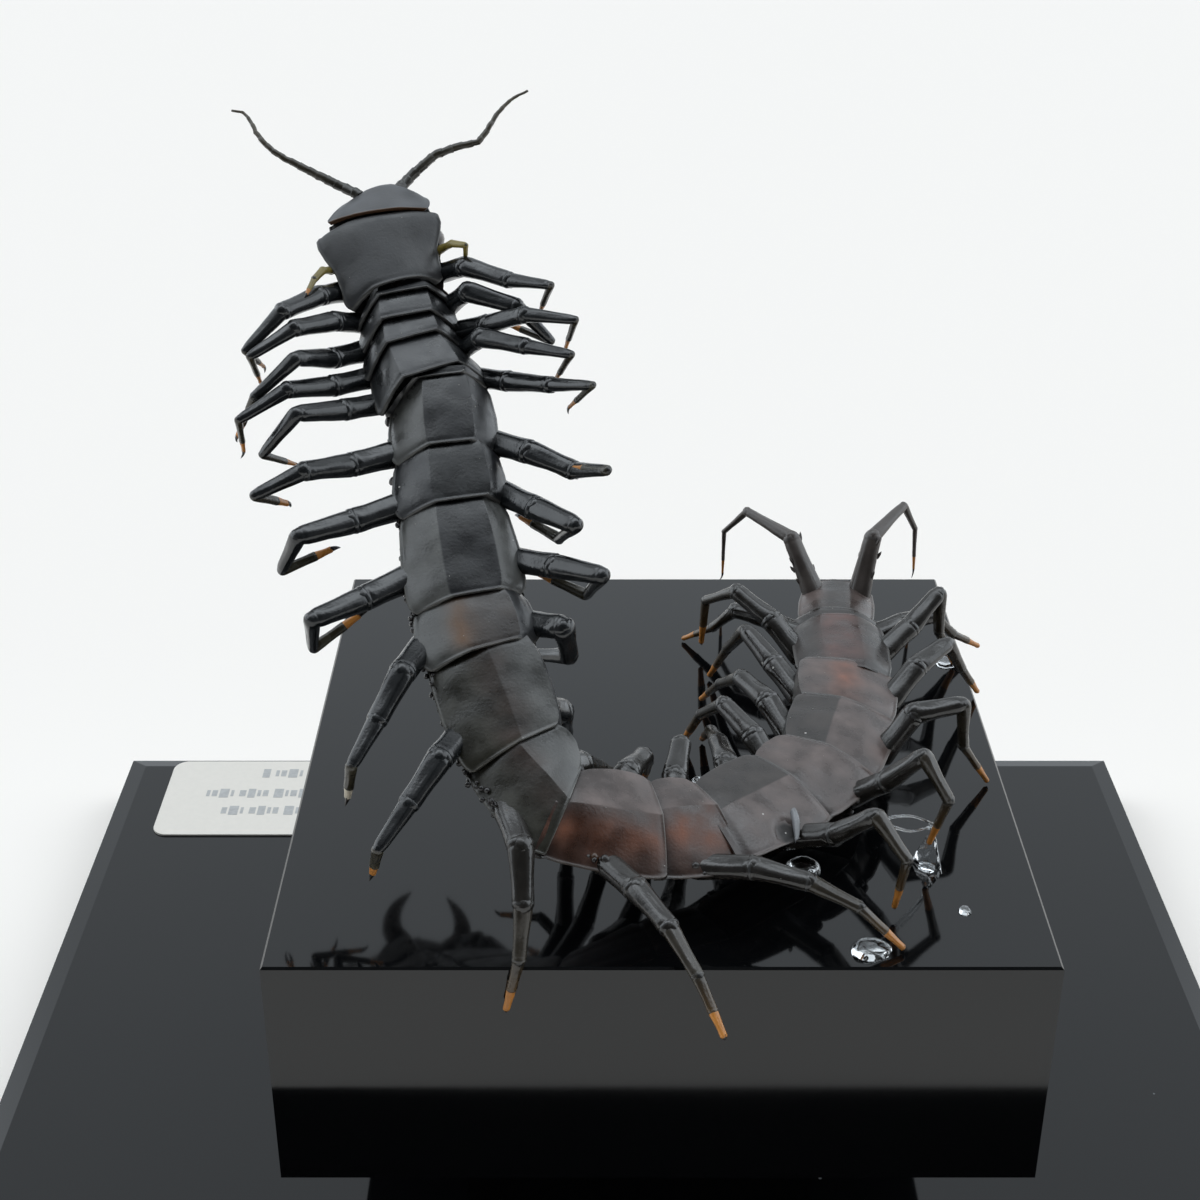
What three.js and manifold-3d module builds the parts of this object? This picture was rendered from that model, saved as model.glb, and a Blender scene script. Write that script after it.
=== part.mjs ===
// A dried giant centipede, rearing up and glued by its feet to a polished black display block. The block
// stands on a narrower riser in the middle of a polished black base plate that carries a white card.
// Millimetres, Z up. Origin: middle of the base plate's underside. The animal's head looks along +Y.
import * as THREE from 'three';
import { mergeVertices } from 'three/addons/utils/BufferGeometryUtils.js';
import Module from 'manifold-3d';

const wasm = await Module();
wasm.setup();

// Stand.
const baseWidth = 208, baseDepth = 218, baseHeight = 10, bevelWidth = 3.5, bevelDrop = 0.9;
const riserSide = 52, riserHeight = 36.4, riserX = 2;
const blockWidth = 100, blockDepth = 105, blockHeight = 35, blockBevel = 0.3;
const blockTop = baseHeight + riserHeight + blockHeight;
const blockX = 3.7, blockY = 2;
const cardWidth = 60, cardDepth = 27, cardThickness = 0.4, cardCorner = 3;
const cardX = -64.2, cardY = 93.3;

// Back line of the animal, one row at every joint between two back plates, from the front edge of the
// head to the tail: x, y and height from the middle of the block's top, then the body's width there, how
// far its sides droop below the back, and its roll to the left in degrees.
const backLine = [
  [-39.1, 40.6, 72.1, 14.0, 2.2, 4], [-40.4, 31.1, 70.2, 17.0, 2.8, 5], [-36.3, 22.9, 63.3, 13.2, 4.6, 8],
  [-35.8, 21.4, 62.6, 13.2, 4.8, 8], [-34.9, 18.4, 60.1, 13.4, 4.8, 8], [-33.9, 15.5, 58.0, 13.8, 4.6, 8],
  [-30.9, 10.5, 54.9, 14.2, 4.2, 7], [-30.4, 9.6, 54.3, 14.4, 4.0, 6], [-29.1, 0.9, 47.7, 14.8, 3.0, 5],
  [-27.8, -5.9, 42.3, 15.2, 2.6, 5], [-25.1, -17.2, 33.9, 15.8, 2.4, 6], [-22.9, -24.0, 29.6, 15.8, 2.4, 8],
  [-18.0, -34.4, 21.8, 14.6, 2.6, 8], [-11.5, -40.3, 17.0, 14.2, 2.8, 8], [0.3, -37.9, 13.3, 15.6, 2.8, 6],
  [8.0, -35.4, 12.3, 15.2, 2.6, 4], [17.8, -27.0, 12.0, 15.4, 2.6, 2], [23.6, -19.6, 12.0, 15.0, 2.6, 0],
  [27.2, -7.0, 12.0, 14.8, 2.5, 0], [28.4, 4.0, 12.0, 14.4, 2.4, 0], [28.9, 19.2, 11.2, 13.4, 2.2, 0],
  [29.0, 21.7, 11.0, 12.2, 2.0, 0], [30.5, 32.7, 10.0, 10.5, 1.6, 0],
];
const bodyDepth = 0.42; // of the width

// Where the trunk is divided into its 21 leg-bearing segments, counted along the rows above.
const cuts = [1, 1.44, 2.15, 3.6, 4.75, 5.6, 7.2, 8.2, 9.15, 10.05, 11.05, 12.05, 13, 14, 15, 16.1, 17.1,
  18.1, 19.15, 19.8, 21, 22];

// Legs: place of the pair along the rows and its size, then for the left and the right leg the swing
// toward the head and the rise of thigh, knee piece, shin and foot above straight out, in degrees.
const legPoses = [
  [1.36, 0.46, [-45, 60, 35, 15, -85], [-40, 90, 70, 10, -40]],
  [1.66, 1.1, [-35, 37, 25, -12, -114], [-48, 48, 17, 29, -101]],
  [3.05, 1.08, [-27, 46, 33, 2, -96], [-38, 60, 7, -43, -180]],
  [4.2, 1.12, [-25, 32, 44, -20, -60], [-36, 44, 45, 21, -98]],
  [5.15, 1.12, [-12, 20, 29, -12, -93], [-55, 61, 25, 26, -105]],
  [5.9, 1.13, [-7, 19, 25, -49, -134], [-61, 34, 34, 38, -112]],
  [7.85, 1.06, [-20, 20, 30, -5, -125], [-40, 30, 15, 45, -140]],
  [8.75, 1.13, [-20, 15, 20, -65, -175], [-50, 30, 30, -110, -160]],
  [9.6, 1.14, [-25, 15, 20, -85, -190], [-40, 35, 30, -105, -175]],
  [10.55, 1, [-50, 30, -5, 0, -75], [-45, 40, -80, -135, -175]],
  [11.6, 1, [-35, 25, -5, -5, -85], [0, -50, -80, -75, -100]],
  [12.5, 1, [-50, 20, -20, -40, -80], [-15, -30, -45, -45, -95]],
  [13.5, 1, [-35, 15, 5, -10, -20], [-25, 15, -15, -40, -70]],
  [14.5, 1, [-50, 20, 5, -10, -60], [-30, 15, 5, -45, -105]],
  [15.6, 1, [-20, 25, 45, -45, -95], [-35, 10, -10, -20, -115]],
  [16.6, 1, [-5, 40, 50, -55, -105], [-25, 25, 10, -40, -65]],
  [17.55, 1, [-30, 55, 5, -85, -95], [-45, 20, 0, -35, -110]],
  [18.6, 1, [-50, 30, 10, -55, -75], [-50, 20, 20, -50, -65]],
  [19.6, 1, [-40, 25, 35, -85, -95], [-40, 35, 20, -30, -85]],
  [20.2, 0.8, [-30, 10, 0, -45, -80], [-30, 10, 0, -45, -80]],
  [21.75, 1, [-60, 70, 15, -50, -85], [-40, 55, 10, -45, -90]],
];
const legPieces = [6.6, 7.2, 7.0, 6.6], lastLegPieces = [10.5, 9.9, 7.0, 7.4];
const legRadii = [1.7, 1.4, 1.1, 0.75, 0.3], neckLegRadii = [1.45, 1.3, 1.0, 0.7, 0.3];
const firstLegRadii = [0.75, 0.7, 0.65, 0.5, 0.25], lastLegRadii = [1.25, 0.85, 0.55, 0.35, 0.2];

const clawClearance = 0.3;
const gap = 0.15; // half of the slit that keeps two neighbouring segments apart

const shell = (color, roughness = 0.4) => new THREE.MeshStandardMaterial({ color, roughness, metalness: 0 });
const polishedBlack = shell('#060708', 0.08);
const cardWhite = shell('#d9d9d5', 0.8);
const chitinBlack = shell('#17181a', 0.38);
const chitinBrown = shell('#33221c', 0.35);
const feelerBrown = shell('#2a2117', 0.5);
const clearGlue = shell('#aab0b4', 0.06);

const group = new THREE.Group();
group.name = 'mounted_centipede';

function addMesh(name, geometry, material, x = 0, y = 0, z = 0) {
  const mesh = new THREE.Mesh(geometry, material);
  mesh.name = name;
  mesh.position.set(x, y, z);
  group.add(mesh);
}

// A closed skin over rings of points that all have the same count, with flat ends.
function loft(rings) {
  const count = rings[0].length;
  const places = rings.flat().flatMap((p) => [p.x, p.y, p.z]);
  const faces = [];
  for (let r = 0; r < rings.length - 1; r++) {
    for (let i = 0; i < count; i++) {
      const a = r * count + i, b = r * count + ((i + 1) % count);
      faces.push(a, b, b + count, a, b + count, a + count);
    }
  }
  const last = (rings.length - 1) * count;
  for (let i = 1; i < count - 1; i++) faces.push(0, i + 1, i, last, last + i, last + i + 1);
  const geometry = new THREE.BufferGeometry();
  geometry.setAttribute('position', new THREE.Float32BufferAttribute(places, 3));
  geometry.setIndex(faces);
  return geometry;
}

function toSolid(geometry) {
  const bare = geometry.clone();
  bare.deleteAttribute('normal');
  bare.deleteAttribute('uv');
  const merged = mergeVertices(bare, 1e-4);
  return new wasm.Manifold(new wasm.Mesh({
    numProp: 3,
    vertProperties: new Float32Array(merged.attributes.position.array),
    triVerts: new Uint32Array(merged.index.array),
  }));
}

function fuse(geometries) {
  const solid = geometries.map(toSolid).reduce((whole, piece) => whole.add(piece));
  const mesh = solid.getMesh();
  const geometry = new THREE.BufferGeometry();
  geometry.setAttribute('position', new THREE.BufferAttribute(new Float32Array(mesh.vertProperties), 3));
  geometry.setIndex(new THREE.BufferAttribute(new Uint32Array(mesh.triVerts), 1));
  return geometry;
}

// Tapered round limb along a run of points, as a ring of corners at each point.
function limb(points, radii, sides = 6) {
  const side = new THREE.Vector3();
  const rings = points.map((point, i) => {
    const along = points[Math.min(i + 1, points.length - 1)].clone()
      .sub(points[Math.max(i - 1, 0)]).normalize();
    if (i === 0) side.set(-along.y, along.x, 0.01).normalize();
    side.addScaledVector(along, -side.dot(along)).normalize();
    const up = along.clone().cross(side);
    return Array.from({ length: sides }, (_, k) => {
      const turn = (2 * Math.PI * k) / sides;
      return point.clone().addScaledVector(side, radii[i] * Math.cos(turn))
        .addScaledVector(up, radii[i] * Math.sin(turn));
    });
  });
  return loft(rings);
}

const rad = THREE.MathUtils.degToRad;

// Body frames: at every row of the back line the direction to the head, the left side and the back.
const rows = backLine.map(([x, y, z, width, droop, roll]) => ({
  place: new THREE.Vector3(x + blockX, y + blockY, z + blockTop), width, droop, roll,
}));
rows.forEach((row, i) => {
  const ahead = rows[Math.max(i - 1, 0)].place, behind = rows[Math.min(i + 1, rows.length - 1)].place;
  row.forward = ahead.clone().sub(behind).normalize();
  row.up = new THREE.Vector3(0, 0, 1).addScaledVector(row.forward, -row.forward.z).normalize();
  row.up.applyAxisAngle(row.forward, -rad(row.roll));
});

function bodyAt(station) {
  const i = Math.min(Math.floor(station), rows.length - 2), t = station - i;
  const a = rows[i], b = rows[i + 1];
  const forward = a.forward.clone().lerp(b.forward, t).normalize();
  const up = a.up.clone().lerp(b.up, t);
  up.addScaledVector(forward, -up.dot(forward)).normalize();
  return {
    place: a.place.clone().lerp(b.place, t), forward, up, left: up.clone().cross(forward),
    width: a.width + (b.width - a.width) * t, droop: a.droop + (b.droop - a.droop) * t,
    length: a.place.distanceTo(b.place),
  };
}

// Eight-cornered cross-section: flat back panel, two sloping side panels, soft flanks and belly.
function bodyRing(frame, widthShare = 1, sink = 0) {
  const half = (frame.width * widthShare) / 2, deep = frame.width * bodyDepth;
  const corners = [
    [0.5, 0], [1, frame.droop], [0.88, frame.droop + 1.6], [0.55, deep],
    [-0.55, deep], [-0.88, frame.droop + 1.6], [-1, frame.droop], [-0.5, 0],
  ];
  return corners.map(([side, down]) => frame.place.clone()
    .addScaledVector(frame.left, side * half).addScaledVector(frame.up, -down - sink));
}

// One segment's trunk between two cuts; its back plate widens behind the front edge and ends in a lip.
function trunk(from, to) {
  const a = bodyAt(from), b = bodyAt(to - 1e-4);
  const start = from + gap / a.length, end = to - gap / b.length;
  return loft([
    [start, 0.94, 0.5], [start + (end - start) * 0.35, 1.04, 0.15],
    [start + (end - start) * 0.8, 1.05, 0], [end, 0.99, 0],
  ].map(([station, share, sink]) => bodyRing(bodyAt(station), share, sink)));
}

// One leg, bent in one plane: a ring of corners on each side of every joint, then the claw. A foot that
// would sink into the block is raised until its claw rests on it.
const legSides = 6;
function legSolid(pair, side) {
  const [station, size, ...poses] = legPoses[pair];
  const [swing, ...rises] = side > 0 ? poses[0] : poses[1];
  const frame = bodyAt(station), last = pair === 20;
  const outward = frame.left.clone().multiplyScalar(side * Math.cos(rad(swing)))
    .addScaledVector(frame.forward, Math.sin(rad(swing)));
  const hinge = outward.clone().cross(frame.up);
  const lengths = [...(last ? lastLegPieces : legPieces).map((long) => long * size), 1.5];
  const wide = last ? lastLegRadii : pair === 0 ? firstLegRadii : pair < 6 ? neckLegRadii : legRadii;
  const tucked = pair >= 10 && pair <= 15;
  const hip = frame.place.clone()
    .addScaledVector(frame.left, side * frame.width * (last ? 0.3 : tucked ? 0.36 : 0.46))
    .addScaledVector(frame.up, last ? -2.2 : -frame.droop - (tucked ? 2 : 1.4));
  const wayAt = (rise) => outward.clone().multiplyScalar(Math.cos(rad(rise)))
    .addScaledVector(frame.up, Math.sin(rad(rise)));
  const bends = [...rises, rises[3]];
  const joints = () => bends.reduce((run, rise, i) =>
    [...run, run[i].clone().addScaledVector(wayAt(rise), lengths[i])], [hip]);
  const sunk = ({ x, y, z }) => z < blockTop + clawClearance && Math.abs(y - blockY) < blockDepth / 2 + 1;
  while (sunk(joints()[5])) { bends[3] += 2; bends[4] += 2; }
  const places = joints();
  const ring = (place, way, radius) => {
    const over = way.clone().cross(hinge);
    return Array.from({ length: legSides }, (_, k) => place.clone()
      .addScaledVector(hinge, radius * Math.cos((2 * Math.PI * k) / legSides))
      .addScaledVector(over, radius * Math.sin((2 * Math.PI * k) / legSides)));
  };
  const rings = [ring(hip.clone().addScaledVector(wayAt(bends[0]), -1.2), wayAt(bends[0]), wide[0])];
  for (let j = 1; j < 4; j++) {
    const back = wayAt(bends[j - 1]), on = wayAt(bends[j]);
    const reach = 0.3 + wide[j] * Math.tan(rad(Math.abs(bends[j] - bends[j - 1]) / 2));
    rings.push(ring(places[j].clone().addScaledVector(back, -reach), back, wide[j] * 1.06),
      ring(places[j].clone().addScaledVector(on, reach), on, wide[j] * 0.92));
  }
  rings.push(ring(places[4], wayAt(bends[4]), wide[4]), ring(places[5], wayAt(bends[4]), 0.06));
  return loft(rings);
}

// Base plate with a shallow bevel round its top, riser, and the block with its fine eased edges.
const plateRing = (halfX, halfY, z) => [[1, 1], [-1, 1], [-1, -1], [1, -1]]
  .map(([sx, sy]) => new THREE.Vector3(sx * halfX, sy * halfY, z));
addMesh('base_plate', loft([
  plateRing(baseWidth / 2, baseDepth / 2, 0),
  plateRing(baseWidth / 2, baseDepth / 2, baseHeight - bevelDrop),
  plateRing(baseWidth / 2 - bevelWidth, baseDepth / 2 - bevelWidth, baseHeight),
]), polishedBlack);
addMesh('riser', new THREE.BoxGeometry(riserSide, riserSide, riserHeight), polishedBlack,
  riserX, blockY, baseHeight + riserHeight / 2);
addMesh('display_block', loft([
  plateRing(blockWidth / 2, blockDepth / 2, 0),
  plateRing(blockWidth / 2, blockDepth / 2, blockHeight - blockBevel),
  plateRing(blockWidth / 2 - blockBevel, blockDepth / 2 - blockBevel, blockHeight),
]), polishedBlack, blockX, blockY, baseHeight + riserHeight);

// Specimen card: a flat rectangle with rounded corners.
const cardShape = new THREE.Shape();
[[1, 1, 0], [-1, 1, 90], [-1, -1, 180], [1, -1, 270]].forEach(([sx, sy, start]) => {
  cardShape.absarc(sx * (cardWidth / 2 - cardCorner), sy * (cardDepth / 2 - cardCorner), cardCorner,
    rad(start), rad(start + 90), false);
});
const cardSolid = new THREE.ExtrudeGeometry(cardShape, {
  depth: cardThickness, bevelEnabled: false, curveSegments: 4,
});
addMesh('specimen_card', cardSolid, cardWhite, cardX, cardY, baseHeight);

// Head: a broad shield, rounded in front, over the mouth plate with its two open fangs.
const headFrame = bodyAt(0);
const headPoint = (left, forward, up) => headFrame.place.clone().addScaledVector(headFrame.left, left)
  .addScaledVector(headFrame.forward, forward).addScaledVector(headFrame.up, up);
const shieldWidth = 14.4;
const shieldSpans = [[0.02, 0.3], [0.12, 0.62], [0.35, 0.9], [0.65, 1.02], [0.985, 0.98]];
const shield = loft(shieldSpans.map(([t, share]) => {
  const frame = bodyAt(t), half = (shieldWidth * share) / 2, droop = 2.2 * share;
  const corners = [[0.5, 0], [1, droop], [0.9, droop + 0.9], [0.5, 4.2]];
  return [...corners, ...corners.reverse().map(([side, down]) => [-side, down])]
    .map(([side, down]) => frame.place.clone().addScaledVector(frame.left, side * half)
      .addScaledVector(frame.up, -down));
}));
const mouthPlate = loft([[-2.4, 4.2], [-4.2, 5.4], [-6, 5.6]].map(([forward, half]) =>
  [[0.7, -2.6], [1, -3.6], [0.6, -5.2], [-0.6, -5.2], [-1, -3.6], [-0.7, -2.6]]
    .map(([side, up]) => headPoint(side * half, forward, up))));

// Fangs: from the hips of the jaws out, down and round to the front; both tips point a little to the left.
const fangLine = [[4.2, -4.9, -5], [6.2, -4.2, -6], [6.5, -3, -7.2], [5.9, 0, -8.6], [4.8, 2.6, -9.4],
  [3.3, 4.8, -9.9]];
const fang = (side) => limb(fangLine.map(([left, forward, up]) =>
  headPoint(side * left + 0.2 * (forward + 4.5), forward, up)), [1.6, 1.7, 1.6, 1.2, 0.8, 0.12]);
addMesh('head', fuse([shield, mouthPlate, fang(1), fang(-1)]), chitinBlack);

// Feelers: tapering, kinked, dried to thin threads.
const feelerRadii = [0.8, 0.75, 0.68, 0.6, 0.52, 0.42, 0.32, 0.2];
const feeler = (places, radii) => limb(places.map(([x, y, z]) =>
  new THREE.Vector3(x + blockX, y + blockY, z + blockTop)), radii);
addMesh('feeler_left', feeler([
  [-44.9, 40.0, 71.6], [-49.9, 41.1, 73.6], [-53.6, 41.9, 75.4], [-56.8, 42.8, 77.0],
  [-59.1, 45.1, 78.8], [-60.1, 47.0, 80.3], [-61.3, 48.1, 81.2], [-63.1, 48.3, 81.4],
], feelerRadii), feelerBrown);
addMesh('feeler_right', feeler([
  [-36.6, 41.4, 72.7], [-32.8, 43.6, 75.6], [-29.2, 44.0, 77.1], [-25.9, 43.9, 77.8],
  [-24.3, 45.8, 79.4], [-23.0, 48.1, 81.3], [-20.8, 50.1, 82.9], [-18.6, 51.2, 83.7],
], feelerRadii), feelerBrown);

// The 21 segments, each with its pair of legs grown on.
for (let i = 0; i < 21; i++) {
  const name = `segment_${String(i + 1).padStart(2, '0')}`;
  addMesh(name, fuse([trunk(cuts[i], cuts[i + 1]), legSolid(i, 1), legSolid(i, -1)]),
    i < 11 ? chitinBlack : chitinBrown);
}

// Clear glue drops that hold feet and belly on the block: low domes, x, y, radius and height.
const glueDrops = [[26.3, -49.0, 2.4, 1.2], [19.5, -31.5, 3.0, 1.6], [36.5, -27.5, 3.4, 0.8], [47.0, 23.5, 1.8, 0.6],
  [39.5, -40.9, 0.9, 0.5], [6.2, -10.4, 0.8, 0.6]];
glueDrops.forEach(([x, y, radius, height], i) => {
  const outline = [[0, 0], [radius, 0], [radius * 0.86, height * 0.5], [radius * 0.5, height * 0.87], [0, height]];
  const dome = new THREE.LatheGeometry(outline.map(([r, z]) => new THREE.Vector2(r, z)), 10);
  dome.rotateX(Math.PI / 2);
  addMesh(`glue_drop_${i + 1}`, dome, clearGlue, x + blockX, y + blockY, blockTop);
});

export default group;
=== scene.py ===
# %% [markdown]
# # A dried giant centipede on a black display block
# The real object is a dried centipede, glued by its feet to a polished black block. The block stands on a
# riser over a larger polished base plate, which also carries a white card. The measured model of all this
# is loaded first. Its stand keeps its shape, gets worn edges and a finish. Every other plain solid is
# hidden, and a detailed piece takes its place.

import math

import bmesh
import bpy
import numpy as np
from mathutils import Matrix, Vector, noise


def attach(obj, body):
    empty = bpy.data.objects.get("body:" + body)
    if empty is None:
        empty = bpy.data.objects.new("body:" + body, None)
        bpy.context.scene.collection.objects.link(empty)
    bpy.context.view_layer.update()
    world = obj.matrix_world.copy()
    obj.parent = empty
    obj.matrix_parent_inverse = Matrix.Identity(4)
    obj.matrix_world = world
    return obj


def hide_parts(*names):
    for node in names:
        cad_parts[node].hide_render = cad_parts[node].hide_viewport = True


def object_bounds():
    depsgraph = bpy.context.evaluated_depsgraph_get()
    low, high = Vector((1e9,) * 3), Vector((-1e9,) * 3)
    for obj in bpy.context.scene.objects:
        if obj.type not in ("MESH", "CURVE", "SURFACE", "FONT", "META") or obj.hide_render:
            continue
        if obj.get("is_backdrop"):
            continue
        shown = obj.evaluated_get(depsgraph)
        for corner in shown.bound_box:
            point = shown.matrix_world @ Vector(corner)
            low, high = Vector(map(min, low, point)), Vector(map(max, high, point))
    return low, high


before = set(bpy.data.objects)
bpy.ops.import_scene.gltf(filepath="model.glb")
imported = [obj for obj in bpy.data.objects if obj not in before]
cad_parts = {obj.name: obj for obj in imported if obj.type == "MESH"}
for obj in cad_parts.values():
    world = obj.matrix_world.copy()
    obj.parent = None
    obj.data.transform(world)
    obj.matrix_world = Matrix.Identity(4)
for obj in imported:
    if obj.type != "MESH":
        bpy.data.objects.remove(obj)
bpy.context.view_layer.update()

# %% [markdown]
# ## Sizes
# The measured model was drawn in millimetres, so the same numbers are used here. A piece is turned into
# metres when its mesh is made. The animal's places are counted from the middle of the block's top.

# %% Sizes of the stand
MM = 0.001
block_x, block_y, block_top, block_depth = 3.7, 2.0, 81.4, 105.0
base_top = 10.0
middle_of_block_top = np.array([block_x, block_y, block_top])
print("top of the block at", block_top, "mm")

# %% [markdown]
# ## Camera and studio
# The camera looks down at 28 degrees, from the place that the edges of the block and the base plate give.
# The room is a plain pale studio: a pale floor, and soft light from behind, above and both sides, with the
# darker room behind the camera. What the lens sees straight is an even, almost white backdrop.

# %% Camera
camera_data = bpy.data.cameras.new("camera")
camera_data.sensor_width, camera_data.lens = 36.0, 58.08
camera_data.clip_start, camera_data.clip_end = 0.01, 20.0
camera = bpy.data.objects.new("camera", camera_data)
camera.location = (-0.0040, -0.2410, 0.2348)
camera.rotation_euler = (math.radians(61.93), 0.0, 0.0)
bpy.context.scene.collection.objects.link(camera)
bpy.context.scene.camera = camera
bpy.context.scene.view_settings.view_transform = "Standard"
print("camera height", round(camera.location.z, 3), "m")


# %% Room light
def feed(tree, socket, value):
    """Links another socket to this one, or sets its constant value."""
    if isinstance(value, bpy.types.NodeSocket):
        tree.links.new(value, socket)
    else:
        socket.default_value = value


def add_node(tree, kind, **settings):
    """One node, with its settings and what goes into its named sockets."""
    node = tree.nodes.new(kind)
    for key, value in settings.items():
        if hasattr(node, key):
            setattr(node, key, value)
        else:
            feed(tree, node.inputs[key.replace("_", " ")], value)
    return node


def soft_step(tree, source, start, end, low=0.0, high=1.0):
    """A value that goes softly from low to high while source goes from start to end."""
    return add_node(tree, "ShaderNodeMapRange", interpolation_type="SMOOTHSTEP", Value=source, From_Min=start,
                    From_Max=end, To_Min=low, To_Max=high).outputs["Result"]


def calc(tree, operation, a, b):
    """The sum, product or other result of two sockets or numbers."""
    node = add_node(tree, "ShaderNodeMath", operation=operation)
    for socket, value in zip(node.inputs, (a, b)):
        feed(tree, socket, value)
    return node.outputs[0]


world = bpy.data.worlds.new("studio")
bpy.context.scene.world = world
world.use_nodes = True
room = world.node_tree
room.nodes.clear()
direction = add_node(room, "ShaderNodeTexCoord").outputs["Generated"]
axes = add_node(room, "ShaderNodeSeparateXYZ", Vector=direction)
overhead = soft_step(room, axes.outputs["Z"], 0.78, 0.9, 0.86, 3.2)
zenith = soft_step(room, axes.outputs["Z"], 0.935, 0.975, 1.0, 0.6)
overhead = calc(room, "MULTIPLY", overhead, zenith)
sideways = soft_step(room, calc(room, "ABSOLUTE", axes.outputs["X"], 0.0), 0.5, 0.66, 0.86, 2.1)
fade_above = soft_step(room, axes.outputs["Y"], -0.16, 0.12, 0.1, 1.0)
fade_sides = soft_step(room, axes.outputs["Y"], -0.28, -0.08, 0.1, 1.0)
strength = calc(room, "MAXIMUM", calc(room, "MULTIPLY", overhead, fade_above),
                calc(room, "MULTIPLY", sideways, fade_sides))
lit_room = add_node(room, "ShaderNodeBackground", Color=(0.90, 0.97, 1.03, 1.0), Strength=strength)
backdrop = add_node(room, "ShaderNodeBackground", Color=(0.83, 0.855, 0.865, 1.0), Strength=1.0)
seen_straight = add_node(room, "ShaderNodeLightPath").outputs["Is Camera Ray"]
pick = add_node(room, "ShaderNodeMixShader")
for socket, source in zip(pick.inputs, (seen_straight, lit_room.outputs[0], backdrop.outputs[0])):
    feed(room, socket, source)
add_node(room, "ShaderNodeOutputWorld", Surface=pick.outputs[0])
print("room light set")

# %% [markdown]
# ## Finishes
# Every finish starts as one Principled shader. Two effects are node groups that are built once: the
# cloudy unevenness of dried horn, and the dust that lies on the animal and on its stand.

# %% Dried horn group
def new_group(name, inputs, outputs):
    group = bpy.data.node_groups.new(name, "ShaderNodeTree")
    for label, start in inputs:
        socket = group.interface.new_socket(label, in_out="INPUT", socket_type="NodeSocketFloat")
        socket.default_value = start
    for label in outputs:
        group.interface.new_socket(label, in_out="OUTPUT", socket_type="NodeSocketFloat")
    return group, group.nodes.new("NodeGroupInput"), group.nodes.new("NodeGroupOutput")


def noise_at(tree, scale, detail, stretch=None):
    """Noise in the piece's own metres; scale is how many waves fit in a metre."""
    place = add_node(tree, "ShaderNodeTexCoord").outputs["Object"]
    if stretch:
        place = add_node(tree, "ShaderNodeMapping", Vector=place, Scale=stretch).outputs["Vector"]
    return add_node(tree, "ShaderNodeTexNoise", Vector=place, Scale=scale, Detail=detail).outputs["Fac"]


horn_clouds, ask, give = new_group(
    "dried_horn", [("Cloud Scale", 260.0), ("Grain Scale", 1900.0)], ["Cloud", "Height"])
cloud = noise_at(horn_clouds, ask.outputs["Cloud Scale"], 4.0)
grain = noise_at(horn_clouds, ask.outputs["Grain Scale"], 5.0)
horn_clouds.links.new(soft_step(horn_clouds, cloud, 0.25, 0.75), give.inputs["Cloud"])
height = calc(horn_clouds, "ADD", calc(horn_clouds, "MULTIPLY", cloud, 0.6),
              calc(horn_clouds, "MULTIPLY", grain, 0.4))
horn_clouds.links.new(height, give.inputs["Height"])
print("group", horn_clouds.name)

# %% Dust group
dust, ask, give = new_group("dust", [("Scale", 500.0), ("Amount", 0.03)], ["Specks"])
place = add_node(dust, "ShaderNodeTexCoord").outputs["Object"]
cells = add_node(dust, "ShaderNodeTexVoronoi", Randomness=1.0, Vector=place, Scale=ask.outputs["Scale"])
chance = add_node(dust, "ShaderNodeSeparateColor", Color=cells.outputs["Color"])
chosen = calc(dust, "LESS_THAN", chance.outputs[0], ask.outputs["Amount"])
size = calc(dust, "MULTIPLY", chance.outputs[1], 0.16)
speck = calc(dust, "LESS_THAN", cells.outputs["Distance"], size)
dust.links.new(calc(dust, "MULTIPLY", chosen, speck), give.inputs["Specks"])
print("group", dust.name)


# %% Helpers for finishes
def new_finish(name, **values):
    """A material with one Principled shader; its constant values are set on the shader's own sockets."""
    material = bpy.data.materials.new(name)
    material.use_nodes = True
    tree = material.node_tree
    shader = tree.nodes["Principled BSDF"]
    for label, value in values.items():
        shader.inputs[label.replace("_", " ")].default_value = value
    return material, tree, shader


def mix_colors(tree, amount, a, b, kind="MIX"):
    node = add_node(tree, "ShaderNodeMix", data_type="RGBA", blend_type=kind)
    for name, value in (("Factor", amount), ("A", a), ("B", b)):
        feed(tree, node.inputs[name], (*value, 1.0) if isinstance(value, tuple) else value)
    return next(o for o in node.outputs if o.type == "RGBA")


def add_bump(tree, shader, height, strength, distance):
    bump = add_node(tree, "ShaderNodeBump", Height=height, Strength=strength, Distance=distance)
    tree.links.new(bump.outputs["Normal"], shader.inputs["Normal"])


# %% [markdown]
# ### Horn
# Plates and legs are the same dried horn, from black to reddish brown and, at the feet, orange. One
# material is enough: the shade and roughness of every point are stored on the mesh, in an attribute that
# the shader reads, and the clouds of the group break them up. The stored colour also holds painted light:
# a painted shadow at the front of each plate, painted shade in the torn notch, and painted highlights
# along the plate rims and the leg lips.

# %% Horn finish
horn, tree, shader = new_finish("dried_horn_shell", IOR=1.56)
stored = add_node(tree, "ShaderNodeAttribute", attribute_name="tint")
clouds = add_node(tree, "ShaderNodeGroup", node_tree=horn_clouds, Cloud_Scale=420.0, Grain_Scale=2600.0)
specks = add_node(tree, "ShaderNodeGroup", node_tree=dust, Scale=700.0, Amount=0.012)
darker = mix_colors(tree, 1.0, stored.outputs["Color"], (0.74, 0.73, 0.72), "MULTIPLY")
lighter = mix_colors(tree, 1.0, stored.outputs["Color"], (1.22, 1.22, 1.22), "MULTIPLY")
cloudy = mix_colors(tree, clouds.outputs["Cloud"], darker, lighter)
dusty = mix_colors(tree, calc(tree, "MULTIPLY", specks.outputs["Specks"], 0.8), cloudy, (0.55, 0.53, 0.5))
tree.links.new(dusty, shader.inputs["Base Color"])
uneven = soft_step(tree, clouds.outputs["Cloud"], 0.0, 1.0, -0.07, 0.09)
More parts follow.
